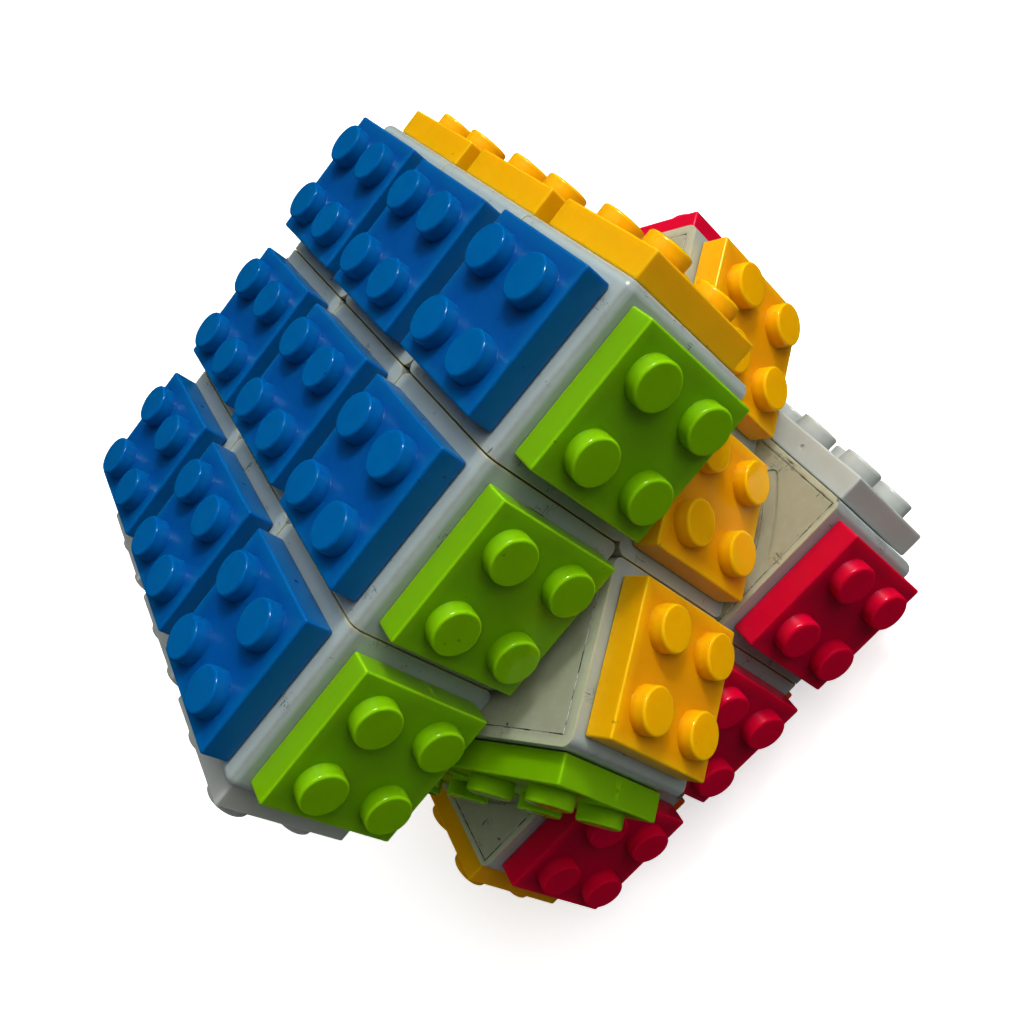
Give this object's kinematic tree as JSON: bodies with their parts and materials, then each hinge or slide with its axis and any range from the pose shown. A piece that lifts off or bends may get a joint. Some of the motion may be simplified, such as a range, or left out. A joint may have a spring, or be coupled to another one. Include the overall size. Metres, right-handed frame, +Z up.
{
  "type": "twisty puzzle cube",
  "caption": "Cube-shaped twisty puzzle with studded square tiles on white cubies, shown with its layers turned apart; the outer layers turn on an inner core.",
  "frame": {"origin": "centre of the core, where all six arms and turning axes meet, halfway up the object", "axes": "+Z up, out of the blue face, along the axis about which the layers are turned apart; +X and +Y out of the green and the yellow sides of the top layer"},
  "size_m": [0.0838, 0.0838, 0.0668],
  "materials": {
    "cubie_white": "satin off-white moulded plastic with softened edges",
    "tile_blue": "glossy azure blue moulded plastic",
    "tile_green": "glossy lime green moulded plastic",
    "tile_yellow": "glossy warm yellow moulded plastic",
    "tile_red": "glossy crimson moulded plastic",
    "tile_white": "glossy white moulded plastic",
    "tile_orange": "glossy orange moulded plastic",
    "core_black": "black moulded nylon",
    "screw_steel": "plated steel",
    "spring_steel": "drawn spring steel"
  },
  "bodies": {
    "core_and_middle_layer": {"centre_green": "cubie_white", "centre_red": "cubie_white", "centre_white": "cubie_white", "centre_yellow": "cubie_white", "core_spider": "core_black", "edge_green_white": "cubie_white", "edge_green_yellow": "cubie_white", "edge_red_white": "cubie_white", "edge_red_yellow": "cubie_white", "screw_blue": "screw_steel", "screw_green": "screw_steel", "screw_orange": "screw_steel", "screw_red": "screw_steel", "screw_white": "screw_steel", "screw_yellow": "screw_steel", "spring_blue": "spring_steel", "spring_green": "spring_steel", "spring_orange": "spring_steel", "spring_red": "spring_steel", "spring_white": "spring_steel", "spring_yellow": "spring_steel"},
    "top_layer": {"centre_blue": "cubie_white", "corner_blue_green_white": "cubie_white", "corner_blue_green_yellow": "cubie_white", "corner_blue_red_white": "cubie_white", "corner_blue_red_yellow": "cubie_white", "edge_blue_green": "cubie_white", "edge_blue_red": "cubie_white", "edge_blue_white": "cubie_white", "edge_blue_yellow": "cubie_white", "tile_blue_1": "tile_blue", "tile_blue_2": "tile_blue", "tile_blue_3": "tile_blue", "tile_blue_4": "tile_blue", "tile_blue_5": "tile_blue", "tile_blue_6": "tile_blue", "tile_blue_7": "tile_blue", "tile_blue_8": "tile_blue", "tile_blue_9": "tile_blue", "tile_green_1": "tile_green", "tile_green_2": "tile_green", "tile_green_3": "tile_green", "tile_red_1": "tile_red", "tile_red_2": "tile_red", "tile_red_3": "tile_red", "tile_white_1": "tile_white", "tile_white_2": "tile_white", "tile_white_3": "tile_white", "tile_yellow_1": "tile_yellow", "tile_yellow_2": "tile_yellow", "tile_yellow_3": "tile_yellow"},
    "bottom_layer": {"centre_orange": "cubie_white", "corner_orange_green_white": "cubie_white", "corner_orange_green_yellow": "cubie_white", "corner_orange_red_white": "cubie_white", "corner_orange_red_yellow": "cubie_white", "edge_orange_green": "cubie_white", "edge_orange_red": "cubie_white", "edge_orange_white": "cubie_white", "edge_orange_yellow": "cubie_white"}
  },
  "joints": [
    {"name": "top_layer_turn", "type": "hinge", "parent": "core_and_middle_layer", "child": "top_layer", "pos_m": [0, 0, 0], "axis": [0, 0, 1], "continuous": true},
    {"name": "bottom_layer_turn", "type": "hinge", "parent": "core_and_middle_layer", "child": "bottom_layer", "pos_m": [0, 0, 0], "axis": [0, 0, 1], "continuous": true}
  ]
}
